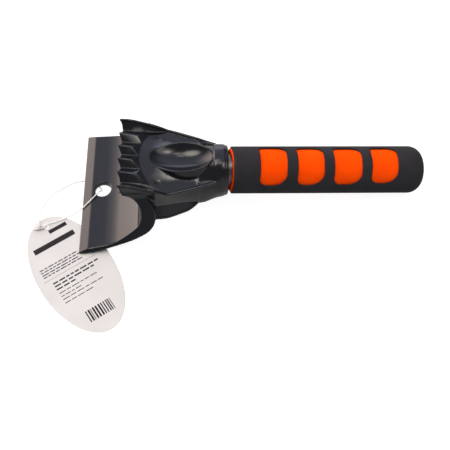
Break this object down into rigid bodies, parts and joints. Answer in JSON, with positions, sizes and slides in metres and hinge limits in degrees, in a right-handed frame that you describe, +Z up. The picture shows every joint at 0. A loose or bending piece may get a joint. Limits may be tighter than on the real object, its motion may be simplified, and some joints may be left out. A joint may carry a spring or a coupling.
{
  "type": "windshield ice scraper",
  "caption": "Handheld windshield ice scraper: wide black blade with an open jaw under a toothed comb, tubular handle, two-colour foam grip, oval hang tag on an elastic string.",
  "frame": {"origin": "on the table under the middle of the scraper's bounding box, measured without the string, knot and tag", "axes": "+X from the blade's edge towards the end of the grip, +Y across the blade, +Z up from the table the scraper lies on"},
  "size_m": [0.2637, 0.1509, 0.0474],
  "materials": {
    "head_plastic": "glossy moulded black plastic",
    "tube_metal": "bright drawn tube",
    "orange_foam": "matte closed-cell foam",
    "black_foam": "matte closed-cell foam, fine pores",
    "tag_card": "smooth warm white card, printed with plain bars",
    "string_elastic": "off-white elastic string",
    "knot_elastic": "off-white elastic string, tied"
  },
  "bodies": {
    "scraper": {"scraper_head": "head_plastic", "handle_tube": "tube_metal", "foam_inner": "orange_foam", "foam_outer": "black_foam", "tag_string": "string_elastic"},
    "tag": {"hang_tag": "tag_card", "string_knot": "knot_elastic"}
  },
  "joints": [
    {"name": "tag_swing", "type": "hinge", "parent": "scraper", "child": "tag", "pos_m": [-0.14267, -0.0266, 0], "axis": [0, 0, 1], "range_deg": [-40, 30]}
  ]
}
